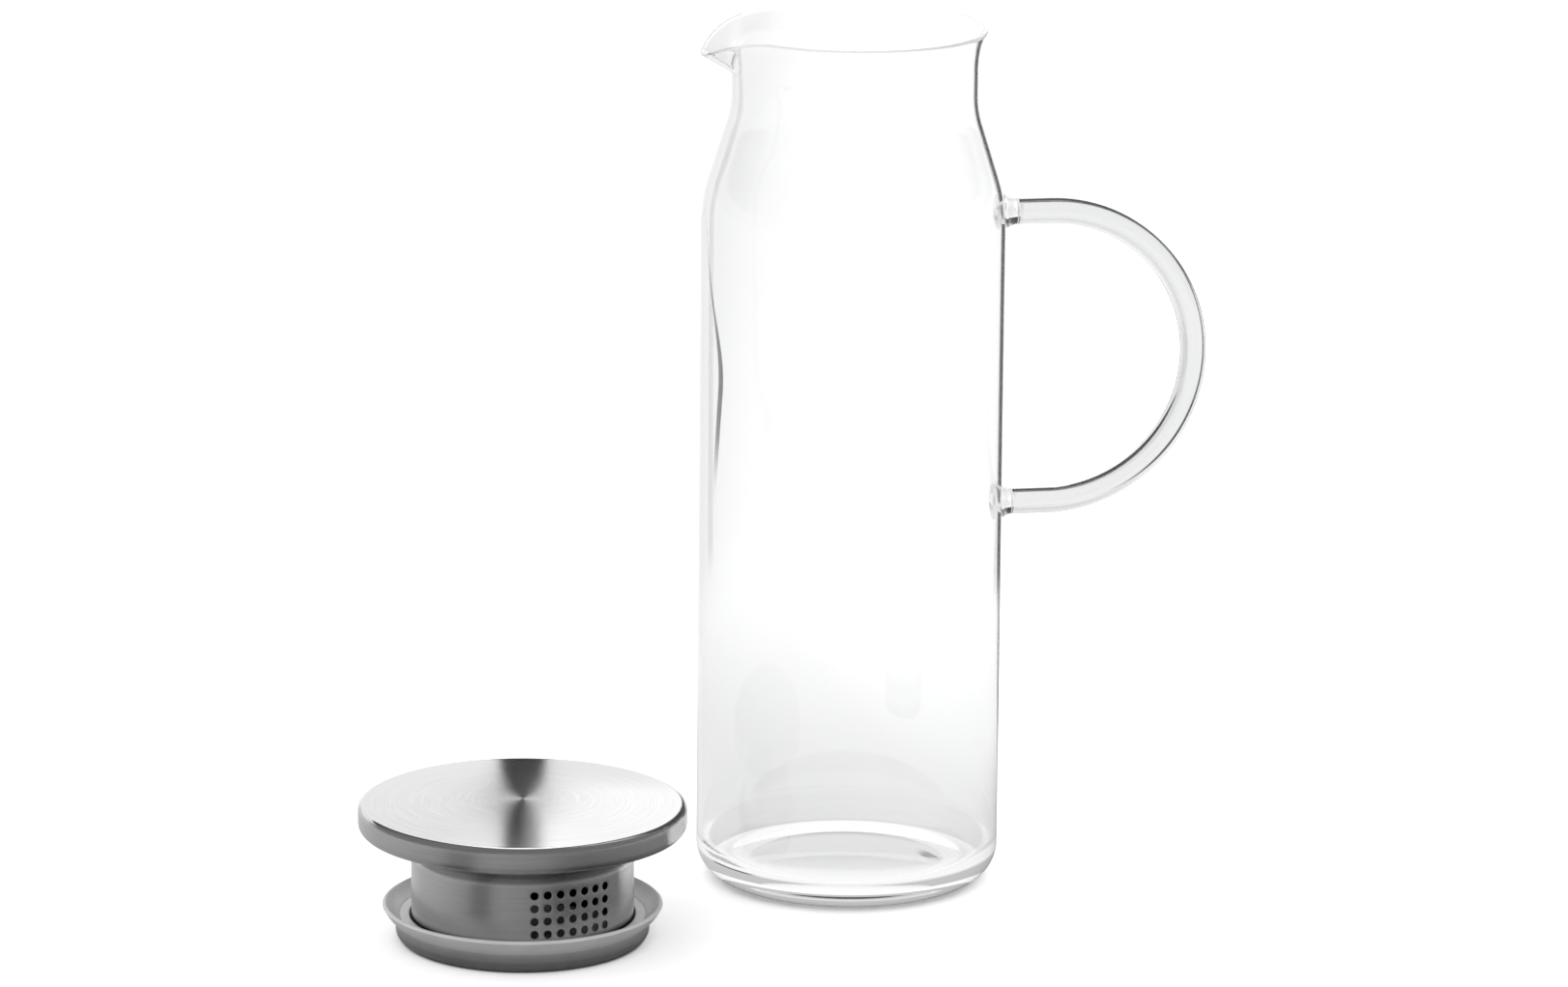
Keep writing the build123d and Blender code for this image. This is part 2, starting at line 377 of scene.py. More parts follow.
def vessel():
    """Blown glass body: outside, rounded mouth edge, inside at the wall's distance, and thick bottom."""
    outside = outer_rings()
    first_inside = next(i for i, ring in enumerate(outside) if ring[0].z > INSIDE_START_HEIGHT)
    inside = []
    for row in range(len(outside) - 1, first_inside - 1, -1):
        normals = ring_normals(outside, row)
        inside.append([point - normal * GLASS_WALL for point, normal in zip(outside[row], normals)])
    edge = []
    for step in range(1, MOUTH_EDGE_STEPS):
        turn = math.pi * step / MOUTH_EDGE_STEPS
        ring = []
        for outer, inner, below in zip(outside[-1], inside[0], outside[-2]):
            out = (outer - inner) / 2
            up = (outer - below).normalized() * out.length
            ring.append((outer + inner) / 2 + out * math.cos(turn) + up * math.sin(turn))
        edge.append(ring)
    inner_radius = BODY_RADIUS - GLASS_WALL
    bottom = rounded(
        [(inner_radius, FLOOR_SIDE_TOP), (inner_radius, FLOOR_HEIGHT), (0, FLOOR_HEIGHT)],
        [BASE_CORNER_ROUND - GLASS_WALL],
        arc_step=VESSEL_ARC_STEP,
    )
    floor = [ring_at(point.x, point.y, VESSEL_COLUMNS) for point in resampled(bottom, FLOOR_ROW_SPACING)]
    return skin("vessel_glass", outside + edge + inside + floor)


# Handle

def tube_rings(path, radii, sides=96):
    """Rings of points around a path in the XZ plane."""
    rings = []
    for i, (point, radius) in enumerate(zip(path, radii)):
        ahead = (path[min(i + 1, len(path) - 1)] - path[max(i - 1, 0)]).normalized()
        out = Vector((-ahead.z, 0, ahead.x))
        ring = []
        for side in range(sides):
            turn = 2 * math.pi * side / sides
            ring.append(point + (out * math.cos(turn) + Vector((0, 1, 0)) * math.sin(turn)) * radius)
        rings.append(ring)
    return rings


def handle_path(upper_end, lower_end, shift):
    """Middle line of the handle from its upper to its lower end, moved outwards in the bend by shift."""
    centre_x = HANDLE_REACH - TUBE_RADIUS - HANDLE_BEND_RADIUS
    bend_steps = 192
    arm_steps = 12
    path = []
    for step in range(arm_steps):
        x = upper_end + (centre_x - upper_end) * step / arm_steps
        path.append(Vector((x, 0, UPPER_ARM_HEIGHT)))
    for step in range(bend_steps + 1):
        turn = math.pi / 2 - math.pi * step / bend_steps
        reach = HANDLE_BEND_RADIUS + shift * math.cos(turn)
        x = centre_x + reach * math.cos(turn)
        path.append(Vector((x, 0, HANDLE_MIDDLE_HEIGHT + reach * math.sin(turn))))
    for step in range(arm_steps):
        x = centre_x + (lower_end - centre_x) * (step + 1) / arm_steps
        path.append(Vector((x, 0, LOWER_ARM_HEIGHT)))
    return path


def handle_tube():
    """Glass tube bent to a D, closed at its ends, with its bore a little nearer the outside of the bend."""
    upper_end = BODY_RADIUS + UPPER_FOOT_LENGTH
    lower_end = BODY_RADIUS + LOWER_FOOT_LENGTH
    outside = handle_path(upper_end, lower_end, 0)
    bore = handle_path(upper_end + BORE_END_INSET, lower_end + BORE_END_INSET, BORE_SHIFT)
    bore_radius = TUBE_RADIUS - TUBE_WALL
    cap_steps = 4
    insets = []
    cap_radii = []
    for step in range(cap_steps, -1, -1):
        turn = math.pi / 2 * step / cap_steps
        insets.append(Vector((BORE_END_ROUND * (1 - math.sin(turn)), 0, 0)))
        cap_radii.append(bore_radius - BORE_END_ROUND * (1 - math.cos(turn)))
    upper_cap = [bore[0] + inset for inset in insets]
    lower_cap = [bore[-1] + inset for inset in insets[::-1]]
    bore_path = upper_cap + bore[1:-1] + lower_cap
    radii = cap_radii + [bore_radius] * (len(bore) - 2) + cap_radii[::-1]
    mesh = bmesh.new()
    weave(mesh, [[outside[0]]] + tube_rings(outside, [TUBE_RADIUS] * len(outside)) + [[outside[-1]]])
    bore_faces = weave(mesh, [[bore_path[0]]] + tube_rings(bore_path, radii) + [[bore_path[-1]]])
    return finished("handle_glass_tube", mesh, bore_faces)


def handle_foot(name, height, length):
    """Trumpet of glass that flares from the tube's end to the carafe's wall, and follows the wall."""
    sides = 48
    steps = 10
    start = BODY_RADIUS + length
    rings = []
    for step in range(steps + 1):
        share = step / steps
        radius = TUBE_RADIUS + (FOOT_RADIUS - TUBE_RADIUS) * share**2
        ring = []
        for side in range(sides):
            turn = 2 * math.pi * side / sides
            y = radius * math.cos(turn)
            wall = math.sqrt(BODY_RADIUS**2 - y**2)
            ring.append(Vector((start + (wall - start) * share, y, height + radius * math.sin(turn))))
        rings.append(ring)
    front = Vector((start, 0, height))
    back = Vector((BODY_RADIUS, 0, height))
    middle = [back.lerp(point, 0.5) for point in rings[-1]]
    for point in middle:
        point.x = math.sqrt(BODY_RADIUS**2 - point.y**2)
    return skin(name, [[front]] + rings + [middle, [back]])


# Lid

def dome(height):
    """Points of the disc's slightly domed face, from its middle to where the edge's round starts."""
    count = 32
    reach = COVER_RADIUS - COVER_TOP_ROUND
    return [Vector((reach * i / count, height - COVER_DOME * (i / count)**2)) for i in range(count)]


def lid_cover():
    """Steel disc with a slightly domed top and a turned-down, turned-in rim."""
    edge_height = COVER_TOP - COVER_DOME
    edge_start = COVER_RADIUS - COVER_TOP_ROUND - SHEET_EDGE_ROUND
    inner = COVER_RADIUS - SHEET
    lip = COVER_RADIUS - COVER_LIP_WIDTH
    outside = rounded(
        [
            (edge_start, edge_height),
            (COVER_RADIUS, edge_height),
            (COVER_RADIUS, COVER_BOTTOM),
            (lip, COVER_BOTTOM),
            (lip, COVER_BOTTOM + SHEET),
            (inner, COVER_BOTTOM + SHEET),
            (inner, edge_height - SHEET),
            (edge_start, edge_height - SHEET),
        ],
        [
            COVER_TOP_ROUND,
            COVER_BOTTOM_ROUND,
            SHEET_EDGE_ROUND,
            SHEET_EDGE_ROUND,
            COVER_BOTTOM_ROUND - SHEET,
            COVER_TOP_ROUND - SHEET,
        ],
    )
    under = dome(COVER_TOP - SHEET)[::-1]
    return lathe("lid_disc", dome(COVER_TOP) + resampled(outside, LID_POINT_SPACING) + under)


def strainer_outlines():
    """Outside and inside of the strainer's cup, from its foot to the middle of its top."""
    foot = RING_SEAT_THICKNESS
    flange = STRAINER_RADIUS + STRAINER_FLANGE_WIDTH
    flange_top = foot + STRAINER_WALL
    inner = STRAINER_RADIUS - STRAINER_WALL
    inner_top = STRAINER_TOP - STRAINER_WALL
    outside = rounded(
        [
            (flange, foot),
            (flange, flange_top),
            (STRAINER_RADIUS, flange_top),
            (STRAINER_RADIUS, STRAINER_TOP),
            (0, STRAINER_TOP),
        ],
        [SHEET_EDGE_ROUND, STRAINER_FOOT_ROUND, STRAINER_CORNER_ROUND],
    )
    inside_round = STRAINER_CORNER_ROUND - STRAINER_WALL
    inside = rounded([(inner, foot), (inner, inner_top), (0, inner_top)], [inside_round])
    return outside, inside


def hole_patch(mesh, borders, middle_angle, middle_height):
    """Fills one square of the strainer's two walls with a pressed round hole between them."""
    stages = [
        (HOLE_RADIUS + 0.22 * MM, 0),
        (HOLE_RADIUS + 0.1 * MM, 0.03 * MM),
        (HOLE_RADIUS + 0.03 * MM, 0.1 * MM),
        (HOLE_RADIUS, 0.2 * MM),
        (HOLE_RADIUS, STRAINER_WALL - 0.1 * MM),
        (HOLE_RADIUS + 0.1 * MM, STRAINER_WALL),
    ]
    outer_border, inner_border = borders
    rings = [outer_border]
    for radius, depth in stages:
        ring = []
        for vertex in outer_border:
            turned = math.atan2(vertex.co.y, vertex.co.x) - middle_angle
            across = (turned + math.pi) % (2 * math.pi) - math.pi
            direction = Vector((across * STRAINER_RADIUS, vertex.co.z - middle_height)).normalized()
            angle = middle_angle + direction.x * radius / STRAINER_RADIUS
            height = middle_height + direction.y * radius
            ring.append(mesh.verts.new(at_angle(STRAINER_RADIUS - depth, angle, height)))
        rings.append(ring)
    rings.append(inner_border)
    for low, high in zip(rings, rings[1:]):
        for i in range(len(low)):
            j = (i + 1) % len(low)
            mesh.faces.new((low[i], low[j], high[j], high[i]))


def strainer():
    """Drawn steel cup, open downwards, with a small flange and a block of round holes in its side."""
    steps = HOLE_SIDE_STEPS
    cell = HOLE_PITCH / STRAINER_RADIUS
    block_columns = HOLE_COLUMNS * steps
    block_rows = HOLE_ROWS * steps
    block_start = HOLE_GROUP_AZIMUTH - HOLE_COLUMNS * cell / 2
    rest_start = block_start + HOLE_COLUMNS * cell
    rest = 2 * math.pi - HOLE_COLUMNS * cell
    rest_columns = round(rest / cell * steps)
    angles = [block_start + cell * i / steps for i in range(block_columns)]
    angles += [rest_start + rest * i / rest_columns for i in range(rest_columns)]
    block_top = STRAINER_TOP - HOLE_TOP_ROW_DEPTH + HOLE_PITCH / 2
    block_bottom = block_top - HOLE_ROWS * HOLE_PITCH
    heights = [block_bottom + (block_top - block_bottom) * i / block_rows for i in range(block_rows + 1)]
    walls = []
    mesh = bmesh.new()
    for outline in strainer_outlines():
        wall_radius = max(point.x for point in outline if point.y > block_bottom)
        block = [Vector((wall_radius, height)) for height in heights]
        low = [point for point in outline if point.y < block_bottom] + block[:1]
        high = block[-1:] + [point for point in outline if point.y > block_top]
        below = resampled(low, STRAINER_POINT_SPACING)[:-1]
        above = resampled(high, STRAINER_POINT_SPACING)[1:]
        points = below + block + above
        rows = []
        for point in points:
            if point.x < POLE_RADIUS:
                rows.append([mesh.verts.new((0, 0, point.y))] * len(angles))
            else:
                rows.append([mesh.verts.new(at_angle(point.x, angle, point.y)) for angle in angles])
        first = points.index(block[0])
        walls.append((rows, first))
        for row in range(len(rows) - 1):
            for column in range(len(angles)):
                if first <= row < first + block_rows and column < block_columns:
                    continue
                beside = (column + 1) % len(angles)
                corners = [rows[row][column], rows[row][beside], rows[row + 1][beside], rows[row + 1][column]]
                mesh.faces.new(list(dict.fromkeys(corners)))
    outer_foot, inner_foot = (rows[0] for rows, _ in walls)
    for column in range(len(angles)):
        beside = (column + 1) % len(angles)
        mesh.faces.new((outer_foot[column], outer_foot[beside], inner_foot[beside], inner_foot[column]))
    for hole_row in range(HOLE_ROWS):
        for hole_column in range(HOLE_COLUMNS):
            borders = []
            for rows, first in walls:
                low, left = first + hole_row * steps, hole_column * steps
                border = [rows[low][left + i] for i in range(steps)]
                border += [rows[low + i][left + steps] for i in range(steps)]
                border += [rows[low + steps][left + steps - i] for i in range(steps)]
                border += [rows[low + steps - i][left] for i in range(steps)]
                borders.append(border)
            middle_angle = block_start + cell * (hole_column + 0.5)
            middle_height = block_bottom + HOLE_PITCH * (hole_row + 0.5)
            hole_patch(mesh, borders, middle_angle, middle_height)
    made = finished("strainer_cup", mesh)
    made.data.transform(Matrix.Translation(LID_CENTRE))
    return made


def gasket():
    """Soft ring with a flared lip, a shallow channel and a pocket that grips the strainer's flange."""
    wall_inside = RING_BODY_RADIUS - RING_WALL
    lean = math.atan2(RING_LIP_RADIUS - RING_BODY_RADIUS, RING_LIP_HEIGHT - RING_SHOULDER_HEIGHT)
    lip_inside = RING_LIP_RADIUS - RING_WALL * math.cos(lean)
    lip_top = RING_LIP_HEIGHT + RING_WALL * math.sin(lean)
    bend_radius = (RING_BODY_RADIUS + RING_LIP_RADIUS) / 2 + RING_LIP_BOW
    bend_height = (RING_SHOULDER_HEIGHT + RING_LIP_HEIGHT) / 2 - RING_LIP_BOW
    pocket = STRAINER_RADIUS + STRAINER_FLANGE_WIDTH + FIT_CLEARANCE
    pocket_top = RING_SEAT_THICKNESS + STRAINER_WALL + FIT_CLEARANCE
    grip = STRAINER_RADIUS + FIT_CLEARANCE
    corners_and_rounds = [
        ((RING_BORE_RADIUS, 0), 0.3 * MM),
        ((RING_BODY_RADIUS, 0), RING_FOOT_ROUND),
        ((RING_BODY_RADIUS, RING_SHOULDER_HEIGHT), 0.8 * MM),
        ((bend_radius, bend_height), 8 * MM),
        ((RING_LIP_RADIUS, RING_LIP_HEIGHT), 0.35 * MM),
        ((lip_inside, lip_top), 0.35 * MM),
        ((wall_inside + RING_STEP / 2, RING_FLOOR_HEIGHT + RING_STEP), 0.3 * MM),
        ((wall_inside, RING_FLOOR_HEIGHT), 0.2 * MM),
        ((grip, RING_FLOOR_HEIGHT), 0.3 * MM),
        ((grip, pocket_top), 0.1 * MM),
        ((pocket, pocket_top), 0.1 * MM),
        ((pocket, RING_SEAT_THICKNESS), 0.1 * MM),
        ((RING_BORE_RADIUS, RING_SEAT_THICKNESS), 0.3 * MM),
    ]
    outline = rounded(*zip(*corners_and_rounds), closed=True)
    return lathe("soft_ring", resampled(outline, LID_POINT_SPACING, closed=True), closed=True)


# Shader nodes

def feed(tree, node, inputs):
    """Gives a node's inputs their constants and their links."""
    for key, value in inputs.items():
        if isinstance(value, bpy.types.NodeSocket):
            tree.links.new(value, node.inputs[key])
        else:
            node.inputs[key].default_value = value


def add(tree, kind, inputs=None, **settings):
    """New shader node with its settings, its constants and its links."""
    made = tree.nodes.new(kind)
    for name, value in settings.items():
        setattr(made, name, value)
    feed(tree, made, inputs or {})
    return made


def calculated(tree, operation, *values):
    """Output of a Math node."""
    return add(tree, "ShaderNodeMath", dict(enumerate(values)), operation=operation).outputs[0]


def vector_calculated(tree, operation, *values):
    """Output of a Vector Math node: a number for a length or a dot product, and else a vector."""
    made = add(tree, "ShaderNodeVectorMath", dict(enumerate(values)), operation=operation)
    return made.outputs["Value" if operation in ("LENGTH", "DOT_PRODUCT") else "Vector"]


def stepped(tree, value, start, end, low=0.0, high=1.0):
    """Output that goes smoothly from low to high while value goes from start to end."""
    inputs = {"Value": value, "From Min": start, "From Max": end, "To Min": low, "To Max": high}
    return add(tree, "ShaderNodeMapRange", inputs, interpolation_type="SMOOTHSTEP").outputs[0]


def either(tree, choice, no, yes):
    """One of two numbers, or a mix of them, by a choice from 0 to 1."""
    inputs = {"Factor": choice, "A": no, "B": yes}
    return add(tree, "ShaderNodeMix", inputs, data_type="FLOAT").outputs["Result"]


def mixed_colours(tree, choice, no, yes):
    """One of two colours, or a mix of them, by a choice from 0 to 1."""
    inputs = {"Factor": choice, "A": no, "B": yes}
    return add(tree, "ShaderNodeMix", inputs, data_type="RGBA").outputs["Result"]


def mixed_shaders(tree, choice, no, yes):
    """One of two shaders, or a mix of them, by a choice from 0 to 1."""
    return add(tree, "ShaderNodeMixShader", {0: choice, 1: no, 2: yes}).outputs[0]


def along(tree, place, direction):
    """Length of a vector along a direction."""
    return vector_calculated(tree, "DOT_PRODUCT", place, direction)


def height_of(tree, place):
    """Upward part of a vector."""
    return add(tree, "ShaderNodeSeparateXYZ", {0: place}).outputs["Z"]


def from_lid_axis(tree, place):
    """Place seen from the foot of the lid's axis, and its distance from that axis."""
    centred = vector_calculated(tree, "SUBTRACT", place, LID_CENTRE)
    flat = vector_calculated(tree, "MULTIPLY", centred, (1, 1, 0))
    return centred, vector_calculated(tree, "LENGTH", flat)


def grey(tone):
    """Opaque colour of one tone."""
    return (tone, tone, tone, 1)


def new_material(name):
    """Material with its node tree, its Principled node, and the place on the object in metres."""
    made = bpy.data.materials.new(name)
    made.use_nodes = True
    tree = made.node_tree
    return made, tree, tree.nodes["Principled BSDF"], add(tree, "ShaderNodeTexCoord").outputs["Object"]


# Materials

GLASS_IOR = 1.47
LAMPLIGHT_THROUGH_GLASS = 0.9
GLASS_WAVE_SCALE = 22.0
GLASS_WAVE_STRENGTH = 0.04

# Grooves of the brushed steel: noise that is drawn out along circles about the lid's axis
GROOVE_SCALE = 2600.0
GROOVE_DRAWN_OUT = 0.0006
GROOVE_DEPTH = 0.2 * MM

# Painted shade on the strainer's foot, where it stands in the soft ring
FOOT_SHADE_HEIGHT = 2.6 * MM
FOOT_SHADE = 0.12

SILICONE_IOR = 1.41
SILICONE_CLOUD_SCALE = 160.0
# Painted light on the silicone: faces that look outwards or down take painted shade, deeper below the
# shoulder under the lip; faces that look up are painted pale, less so at the lip's rim; the contact tone is a
# painted contact shadow by the strainer
SILICONE_LOW_SHADE_TONE = 0.14
SILICONE_HIGH_SHADE_TONE = 0.47
SILICONE_CONTACT_SHADOW_TONE = 0.03
SILICONE_LIP_TONE = 0.62


def glass_material(name, clearness):
    """Clear borosilicate glass with a very faint unevenness from blowing; lamps shine through it."""
    made, tree, shader, place = new_material(name)
    noise_inputs = {"Vector": place, "Scale": GLASS_WAVE_SCALE, "Detail": 1.0}
    noise = add(tree, "ShaderNodeTexNoise", noise_inputs).outputs["Fac"]
    bump_inputs = {"Height": noise, "Strength": GLASS_WAVE_STRENGTH, "Distance": 1 * MM}
    darker = (clearness - 0.015, clearness - 0.01, clearness - 0.01, 1)
    feed(tree, shader, {
        "Base Color": mixed_colours(tree, noise, darker, grey(clearness)),
        "Normal": add(tree, "ShaderNodeBump", bump_inputs).outputs[0],
        "Transmission Weight": 1,
        "Roughness": 0,
        "IOR": GLASS_IOR,
    })
    through = add(tree, "ShaderNodeBsdfTransparent", {"Color": grey(LAMPLIGHT_THROUGH_GLASS)}).outputs[0]
    path = add(tree, "ShaderNodeLightPath")
    trapped = calculated(tree, "GREATER_THAN", path.outputs["Glossy Depth"], 1.5)
    freed = mixed_shaders(tree, trapped, shader.outputs[0], through)
    shown = mixed_shaders(tree, path.outputs["Is Shadow Ray"], freed, through)
    tree.links.new(shown, tree.nodes["Material Output"].inputs["Surface"])
    return made


def steel_material(name, roughness, groove_strength, dark, pale):
    """Steel brushed in circles about the lid's axis, with grooves between a dark and a pale tone, and painted
    shade low down, where the strainer stands in the soft ring.
    """
    made, tree, shader, place = new_material(name)
    centred, distance = from_lid_axis(tree, place)
    parts = add(tree, "ShaderNodeSeparateXYZ", {0: centred}).outputs
    angle = calculated(tree, "ARCTAN2", parts["Y"], parts["X"])
    around = calculated(tree, "MULTIPLY", angle, GROOVE_DRAWN_OUT)
    groove_place = add(tree, "ShaderNodeCombineXYZ", {0: distance, 1: parts["Z"], 2: around}).outputs[0]
    groove_inputs = {"Vector": groove_place, "Scale": GROOVE_SCALE, "Detail": 3.0, "Roughness": 0.6}
    grooves = add(tree, "ShaderNodeTexNoise", groove_inputs).outputs["Fac"]
    tone = mixed_colours(tree, grooves, grey(dark), grey(pale))
    # Painted shade: the tone darkens over FOOT_SHADE_HEIGHT down to the soft ring's floor, and stays dark
    # below it
    shade_top = RING_FLOOR_HEIGHT + FOOT_SHADE_HEIGHT
    shade = stepped(tree, parts["Z"], RING_FLOOR_HEIGHT, shade_top, FOOT_SHADE, 1.0)
    bump_inputs = {"Height": grooves, "Strength": groove_strength, "Distance": GROOVE_DEPTH}
    feed(tree, shader, {
        "Base Color": vector_calculated(tree, "MULTIPLY", tone, shade),
        "Normal": add(tree, "ShaderNodeBump", bump_inputs).outputs[0],
        "Tangent": add(tree, "ShaderNodeTangent", direction_type="RADIAL", axis="Z").outputs[0],
        "Metallic": 1,
        "Roughness": roughness,
        "Anisotropic": 1,
        "Anisotropic Rotation": 0.25,
    })
    return made


def silicone_material():
    """Translucent, matt, cloudy silicone with painted light: painted shade deep in tone outside, pale inside,
    and a dark painted contact shadow at the strainer.
    """
    made, tree, shader, place = new_material("grey_silicone")
    cloud_inputs = {"Vector": place, "Scale": SILICONE_CLOUD_SCALE, "Detail": 4.0}
    clouds = add(tree, "ShaderNodeTexNoise", cloud_inputs).outputs["Fac"]
    # Painted shade on faces that look outwards or down, deeper below the shoulder, under the lip
    low_end = RING_SHOULDER_HEIGHT - 1.5 * MM
    high_start = RING_SHOULDER_HEIGHT + 1 * MM
    height = height_of(tree, place)
    outside = stepped(tree, height, low_end, high_start, SILICONE_LOW_SHADE_TONE, SILICONE_HIGH_SHADE_TONE)
    # Painted contact shadow, dark where the ring meets the strainer; faces that look up are painted pale, a
    # little less towards the lip's rim
    _, distance = from_lid_axis(tree, place)
    contact_shadow_start = STRAINER_RADIUS + 0.5 * MM
    contact_shadow_end = STRAINER_RADIUS + 1.1 * MM
    contact_shadow = stepped(tree, distance, contact_shadow_start, contact_shadow_end, SILICONE_CONTACT_SHADOW_TONE, 1.0)
    lip_start = RING_BODY_RADIUS - 1.5 * MM
    lip_end = RING_LIP_RADIUS - 1 * MM
    lip = stepped(tree, distance, lip_start, lip_end, 1.0, SILICONE_LIP_TONE)
    inside = calculated(tree, "MINIMUM", contact_shadow, lip)
    # Painted light: faces that look up take the pale tone, the others the painted shade
    facing = add(tree, "ShaderNodeNewGeometry").outputs["Normal"]
    level = either(tree, stepped(tree, height_of(tree, facing), -0.1, 0.4), outside, inside)
    shade = calculated(tree, "MULTIPLY", level, stepped(tree, clouds, 0.2, 0.8, 0.9, 0.98))
    bump_inputs = {"Height": clouds, "Strength": 0.08, "Distance": 0.3 * MM}
    feed(tree, shader, {
        "Base Color": add(tree, "ShaderNodeCombineColor", {0: shade, 1: shade, 2: shade}).outputs[0],
        "Normal": add(tree, "ShaderNodeBump", bump_inputs).outputs[0],
        "Roughness": 0.4,
        "Subsurface Weight": 0.8,
        "Subsurface Radius": (1, 1, 1),
        "Subsurface Scale": 3 * MM,
        "IOR": SILICONE_IOR,
    })
    return made


# Stage

AHEAD = Vector((-math.sin(CAMERA_AZIMUTH), math.cos(CAMERA_AZIMUTH), 0))
RIGHT = Vector((math.cos(CAMERA_AZIMUTH), math.sin(CAMERA_AZIMUTH), 0))

# Horizontal direction to the right as seen from the camera when it looks at the lid
LID_SIGHT = LID_CENTRE + CAMERA_DISTANCE * AHEAD
LID_RIGHT = Vector((LID_SIGHT.y, -LID_SIGHT.x, 0)).normalized()

# Brightness of the studio as metal mirrors it, by horizontal direction; 1 is white
METAL_TONES = [
    (-180, 0.26), (-166, 0.29), (-158, 0.26), (-150, 0.12), (-141, 0.12), (-132, 0.27), (-123, 0.34),
    (-99, 0.45), (-70, 0.52), (-30, 0.67), (0, 0.8), (30, 0.6), (40, 0.45), (60, 0.18), (93, 0.15),
    (117, 0.1), (137, 0.06), (150, 0.08), (165, 0.2), (180, 0.26),
]

# Brightness of the studio as the glass's edges bend it into view, with a dark panel ahead on the right
GLASS_TONES = [
    (-180, 0.8), (-60, 0.85), (-20, 1.0), (-10, 1.08), (16.5, 1.08), (19, 0.0), (31, 0.0), (33, 0.95),
    (180, 0.8),
]

# White backdrop as glass shows it: its left edge, with a dark strip along it, in the camera's own directions
BACKDROP_EDGE = -86 * MM
BACKDROP_CURVE_START = 0.65
BACKDROP_CURVE = 1.7
BACKDROP_GRADE = (-0.12, 0.03)
BACKDROP_TONES = (0.86, 1.08)
STRIP_WIDTH = 10 * MM
STRIP_SOFTNESS = 1 * MM
STRIP_START = 0.47
STRIP_FULL = 0.6

# Floor: ranges of distance in metres from the carafe's axis or from the lid, and tones, 1 being white
FLOOR_REACH = 30
FLOOR_COLOUR = 0.8
# Painted shade and light on the floor as glass shows it: grey near the carafe's axis, brighter under the
# carafe
FLOOR_GRADE = (0.0, 0.42)
FLOOR_GRADE_TONES = (0.68, 1.0)
UNDER_CARAFE = (0.044, 0.047)
UNDER_CARAFE_TONE = 1.1
NEAR_FLOOR = (0.33, 0.4)
NEAR_FLOOR_TONE = 1.12
TWICE_MIRRORED = (0.28, 0.33)
TWICE_MIRRORED_TONE = 0.95
AROUND_LID = (0.22, 0.34)
COVER_DISTANCE = 0.05
COVERED_TO_OPEN = (0.1, 0.4)
FLOOR_GLOW = 0.4

# World as glass shows it: ranges of the upward or the forward part of a direction, and tones
GLASS_BACKDROP_TOP = (0.06, 0.1)
GLASS_OVERHEAD = (0.65, 0.8)
GLASS_OVERHEAD_TONES = (0.04, 0.8)
GLASS_BEHIND_TO_AHEAD = (-0.2, 0.1)
GLASS_BEHIND_TONE = 0.7

# World as metal mirrors it: two soft lamps ahead with a dark gap between them, a high lamp, and dim sides
GAP_EDGE = 0.0066
GAP_SOFTNESS = 0.0004
GAP_LOW_TO_HIGH = (0.235, 0.27)
GAP_LOW_TONE = 0.05
GAP_HIGH_TONE = 0.75
LEFT_LAMP_TONE = 1.18
RIGHT_LAMP_RISE = (0.22, 0.26)
RIGHT_LAMP_TONES = (1.12, 1.45)
HIGH_LAMP_BOTTOM = (0.43, 0.47)
HIGH_LAMP_SIDE = (0.04, 0.07)
HIGH_LAMP_TONES = (3.3, 0.1)
METAL_OVERHEAD_TONE = 0.22
HIGH_METAL_AHEAD = (0.5, 0.8)
LOW_METAL_AHEAD = (0.9, 0.95)
METAL_LOW_TO_HIGH = (0.1, 0.2)

# World as it lights matt surfaces, from above and ahead
MATT_SOURCE = 0.6 * AHEAD - 0.25 * RIGHT + Vector((0, 0, 1))
MATT_RANGE = (-0.5, 0.7)
MATT_TONES = (0.6, 1.35)


def camera():
    """Camera at the photograph's place and angle."""
    data = bpy.data.cameras.new("camera")
    data.sensor_width = SENSOR_WIDTH_MM
    data.lens = SENSOR_WIDTH_MM * FOCAL_LENGTH_PIXELS / IMAGE_WIDTH_PIXELS
    data.clip_start = 0.01
    data.clip_end = 100
    level = math.cos(CAMERA_PITCH)
    look = Vector((math.sin(CAMERA_YAW) * level, math.cos(CAMERA_YAW) * level, -math.sin(CAMERA_PITCH)))
    side = Vector((math.cos(CAMERA_YAW), -math.sin(CAMERA_YAW), 0))
    above = side.cross(look)
    tilted_side = side * math.cos(CAMERA_ROLL) + above * math.sin(CAMERA_ROLL)
    tilted_above = above * math.cos(CAMERA_ROLL) - side * math.sin(CAMERA_ROLL)
    axes = Matrix((tilted_side, tilted_above, -look)).transposed().to_4x4()
    axes.translation = Vector((0, -CAMERA_DISTANCE, CAMERA_HEIGHT))
    made = bpy.data.objects.new("camera", data)
    made.matrix_world = Matrix.Rotation(CAMERA_AZIMUTH, 4, "Z") @ axes
    bpy.context.scene.collection.objects.link(made)
    bpy.context.scene.camera = made


def azimuth_of(tree, place):
    """Horizontal direction of a vector in degrees: 0 is away from the camera, 90 is to its right."""
    turn = calculated(tree, "ARCTAN2", along(tree, place, RIGHT), along(tree, place, AHEAD))
    return calculated(tree, "DEGREES", turn)


def toned(tree, degrees, tones):
    """Brightness that follows a list of (degrees, brightness) pairs, straight between them."""
    position = calculated(tree, "MULTIPLY_ADD", degrees, 1 / 360, 0.5)
    ramp = add(tree, "ShaderNodeValToRGB", {0: position})
    stops = ramp.color_ramp.elements
    for angle, tone in tones:
        stop = {-180: stops[0], 180: stops[-1]}.get(angle) or stops.new(angle / 360 + 0.5)
        stop.color = grey(tone)
    return ramp.outputs[0]


